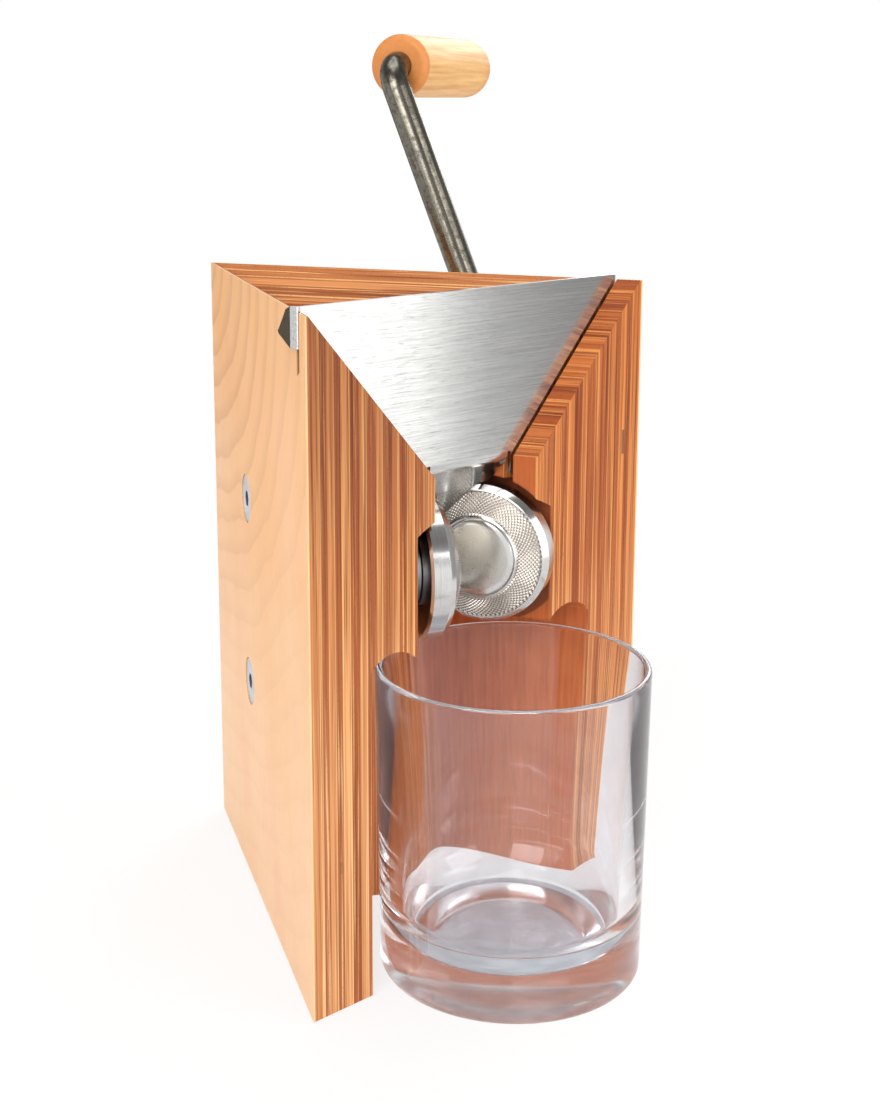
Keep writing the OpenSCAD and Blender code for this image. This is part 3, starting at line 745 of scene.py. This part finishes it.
dress(board_paint("laminate_left", -1, LEFT_TONES, LEFT_TOP_SHADE, LEFT_FIGURE, LEFT_SLITS), "left_board")
dress(board_paint("laminate_right", 1, RIGHT_TONES, RIGHT_TOP_SHADE, RIGHT_FIGURE, RIGHT_SLITS), "right_board")
dress(
    turned_wood_paint("dowel_beech", "alignment_dowels", Vector((1, 0, 0)), Vector((0, 0, 0)),
                      DOWEL_LIGHT, DOWEL_DARK, DOWEL_END),
    "alignment_dowels",
)
dress(
    turned_wood_paint("grip_beech", "grip", RIGHT_AXIS, GRIP_POINT, GRIP_LIGHT, GRIP_DARK, GRIP_END),
    "grip",
)
dress(plate_paint("plate_brushed"), "front_plate")
dress(drawn_metal_paint("rod_drawn", ROD_GREY, ARM, 0.22), "crank_rod")
dress(drawn_metal_paint("axle_drawn", AXLE_GREY, LEFT_AXIS, 0.24), "idler_axle")
for paint_name, colour, axis, origin, roughness, nodes in (
    ("screw_zinc", SCREW_ZINC, -LEFT_AXIS, APEX, 0.24, ("connector_screws",)),
    ("grip_screw_zinc", GRIP_SCREW_ZINC, RIGHT_AXIS, GRIP_POINT, 0.24, ("grip_screw",)),
    ("washer_steel", WASHER_GREY, RIGHT_AXIS, APEX, 0.3, ("driven_thrust_washer", "grip_end_washer")),
    ("idler_washer_steel", WASHER_GREY, LEFT_AXIS, APEX, 0.3, ("idler_thrust_washer",)),
    ("blackened_steel", BLACKENED, LEFT_AXIS, APEX, 0.4, ("idler_spring_washer", "roller_set_screw")),
    ("bronze_right", BRONZE, RIGHT_AXIS, APEX, 0.36, ("outer_bush", "inner_bush")),
    ("bronze_left", BRONZE, LEFT_AXIS, APEX, 0.36, ("idler_bush",)),
):
    dress(turned_metal_paint(paint_name, colour, axis, origin, roughness), *nodes)

# ---- Studio ----


def new_nodes(tree):
    """Short call that makes a node, sets its inputs by name, or i0, i1 by place, and returns it."""
    def make(kind, **inputs):
        made = tree.nodes.new("ShaderNode" + kind)
        for name, value in inputs.items():
            by_place = name[0] == "i" and name[1:].isdigit()
            socket = made.inputs[int(name[1:]) if by_place else name]
            if isinstance(value, bpy.types.NodeSocket):
                tree.links.new(value, socket)
            else:
                socket.default_value = value
        return made
    return make


def flat_mesh(name, corners):
    """Single face that belongs to the studio."""
    mesh = bpy.data.meshes.new(name)
    mesh.from_pydata(corners, [], [tuple(range(len(corners)))])
    piece = bpy.data.objects.new(name, mesh)
    bpy.context.scene.collection.objects.link(piece)
    return piece


# Share of white glow in the floor: FLOOR_GLOW up to GLOW_NEAR from the origin, all beyond GLOW_FAR
FLOOR_HALF = 6.0
FLOOR_Z = -0.0004
FLOOR_GLOW = 0.74
GLOW_NEAR, GLOW_FAR = 0.22, 0.5


def studio_floor():
    """Pale floor that keeps the object's shadow and turns plain white away from it."""
    half = FLOOR_HALF
    floor = flat_mesh("studio_floor", [(-half, -half, FLOOR_Z), (half, -half, FLOOR_Z),
                                       (half, half, FLOOR_Z), (-half, half, FLOOR_Z)])
    material = bpy.data.materials.new("studio_floor")
    material.use_nodes = True
    tree = material.node_tree
    tree.nodes.clear()
    make = new_nodes(tree)
    coords = make("TexCoord")
    far = make("VectorMath", i0=coords.outputs["Object"])
    far.operation = "LENGTH"
    spread = make("MapRange", i0=far.outputs["Value"], i1=GLOW_NEAR, i2=GLOW_FAR, i3=FLOOR_GLOW, i4=1.0)
    spread.interpolation_type = "SMOOTHSTEP"
    rays = make("LightPath")
    mirror = make("Math", i0=rays.outputs["Is Glossy Ray"], i1=rays.outputs["Is Transmission Ray"])
    mirror.operation = "MAXIMUM"
    seen = make("Math", i0=rays.outputs["Is Camera Ray"], i1=mirror.outputs[0])
    seen.operation = "MAXIMUM"
    share = make("Math", i0=seen.outputs[0], i1=spread.outputs[0])
    share.operation = "MULTIPLY"
    diffuse = make("BsdfDiffuse", Color=(0.88, 0.88, 0.88, 1))
    glow = make("Emission", Color=(1, 1, 1, 1))
    mix = make("MixShader", i0=share.outputs[0], i1=diffuse.outputs[0], i2=glow.outputs[0])
    make("OutputMaterial", Surface=mix.outputs[0])
    floor.data.materials.append(material)


def studio_world():
    """Plain white for the camera and through glass, and a bright room for gloss and light.

    The room is bright below and darker above.
    """
    world = bpy.data.worlds.new("studio_world")
    bpy.context.scene.world = world
    world.use_nodes = True
    tree = world.node_tree
    tree.nodes.clear()
    make = new_nodes(tree)
    coords = make("TexCoord")
    height = make("SeparateXYZ", i0=coords.outputs["Generated"])

    def room(stops, strength):
        ramp = make("ValToRGB", i0=height.outputs["Z"])
        set_stops(ramp, [(position, grey(level)) for position, level in stops])
        return make("Background", Color=ramp.outputs[0], Strength=strength)

    lit = room(((0.0, 0.9), (0.28, 0.95), (0.52, 0.45), (0.8, 0.32), (1.0, 0.6)), 0.76)
    gloss = room(((0.0, 1.0), (0.12, 1.0), (0.36, 0.4), (0.75, 0.2), (1.0, 0.3)), 1.0)
    white = make("Background", Color=(1, 1, 1, 1), Strength=1.0)
    rays = make("LightPath")
    clear = make("Math", i0=rays.outputs["Is Camera Ray"], i1=rays.outputs["Is Transmission Ray"])
    clear.operation = "MAXIMUM"
    shine = make("MixShader", i0=rays.outputs["Is Glossy Ray"], i1=lit.outputs[0], i2=gloss.outputs[0])
    whole = make("MixShader", i0=clear.outputs[0], i1=shine.outputs[0], i2=white.outputs[0])
    make("OutputWorld", Surface=whole.outputs[0])


def reflector(name, low_angle, high_angle, distance, top, colour):
    """Upright card that only reflections see. Angles in degrees from -Y towards +X."""
    ends = [Vector((math.sin(math.radians(a)), -math.cos(math.radians(a)), 0)) * distance
            for a in (low_angle, high_angle)]
    rise = Vector((0, 0, top))
    card = flat_mesh(name, [tuple(p) for p in (ends[0], ends[1], ends[1] + rise, ends[0] + rise)])
    for ray in ("camera", "diffuse", "transmission", "volume_scatter", "shadow"):
        setattr(card, "visible_" + ray, False)
    material = bpy.data.materials.new(name)
    material.use_nodes = True
    material.node_tree.nodes.clear()
    make = new_nodes(material.node_tree)
    glow = make("Emission", Color=(*colour, 1))
    make("OutputMaterial", Surface=glow.outputs[0])
    card.data.materials.append(material)


def softbox(name, place, width, height, watts):
    """Rectangular lamp that points at the middle of the object."""
    lamp = bpy.data.lights.new(name, "AREA")
    lamp.shape = "RECTANGLE"
    lamp.size, lamp.size_y = width, height
    lamp.energy = watts
    rig = bpy.data.objects.new(name, lamp)
    rig.location = place
    rig.rotation_mode = "QUATERNION"
    rig.rotation_quaternion = (MIDDLE - Vector(place)).to_track_quat("-Z", "Y")
    bpy.context.scene.collection.objects.link(rig)


MIDDLE = Vector((0.0, -0.04, 0.12))
# Heights of the reflectors, and the colour of the dark one behind
CARD_TOP = 0.6
EAR_CARD_TOP = 0.35
FLAG_TOP = 0.5
FLAG_BROWN = (0.09, 0.06, 0.035)

# Enough bounces for light to find its way out of the glass again
paths = bpy.context.scene.cycles
paths.max_bounces = 20
paths.glossy_bounces = 10
paths.transmission_bounces = 14

studio_floor()
studio_world()
softbox("key_left", (-1.1, -0.55, 0.8), 0.9, 0.9, 12.5)
softbox("fill_front", (0.35, -1.3, 0.6), 1.0, 0.7, 8.5)
softbox("top", (0.0, 0.1, 1.4), 1.0, 1.0, 6.5)
softbox("rim_right", (1.1, 0.5, 0.8), 0.7, 0.9, 8)
reflector("ear_card", -46, -16, 0.74, EAR_CARD_TOP, grey(1.9))
reflector("bright_card", 10, 38, 0.74, CARD_TOP, grey(2.0))
reflector("middle_card", 38, 44, 0.72, CARD_TOP, grey(0.6))
reflector("dark_card", 43.5, 80, 0.7, CARD_TOP, grey(0.4))
reflector("back_flag", 158, 176, 0.9, FLAG_TOP, FLAG_BROWN)

# ---- Camera ----

# Fitted to the photograph: angles in radians, eye in metres, frame and focal length in pixels.
# The sensor spans the frame's height, its longer side
FRAME_H = 1104
SENSOR = 36.0
AZIMUTH = 0.731
PITCH = 0.203
EYE = Vector((-0.35253, -0.44730, 0.27148))
FOCAL_PX = 1663.9
SHIFT_X, SHIFT_Y = 0.027, -0.100

camera_data = bpy.data.cameras.new("camera")
camera_data.sensor_width = SENSOR
camera_data.lens = FOCAL_PX / FRAME_H * SENSOR
camera_data.shift_x = SHIFT_X
camera_data.shift_y = SHIFT_Y
camera_data.clip_start = 0.01
camera = bpy.data.objects.new("camera", camera_data)
level_view = Vector((math.sin(AZIMUTH), math.cos(AZIMUTH), 0))
view = level_view * math.cos(PITCH) - UP * math.sin(PITCH)
camera.location = EYE
camera.rotation_mode = "QUATERNION"
camera.rotation_quaternion = view.to_track_quat("-Z", "Y")
bpy.context.scene.collection.objects.link(camera)
bpy.context.scene.camera = camera
bpy.context.scene.view_settings.view_transform = "Standard"
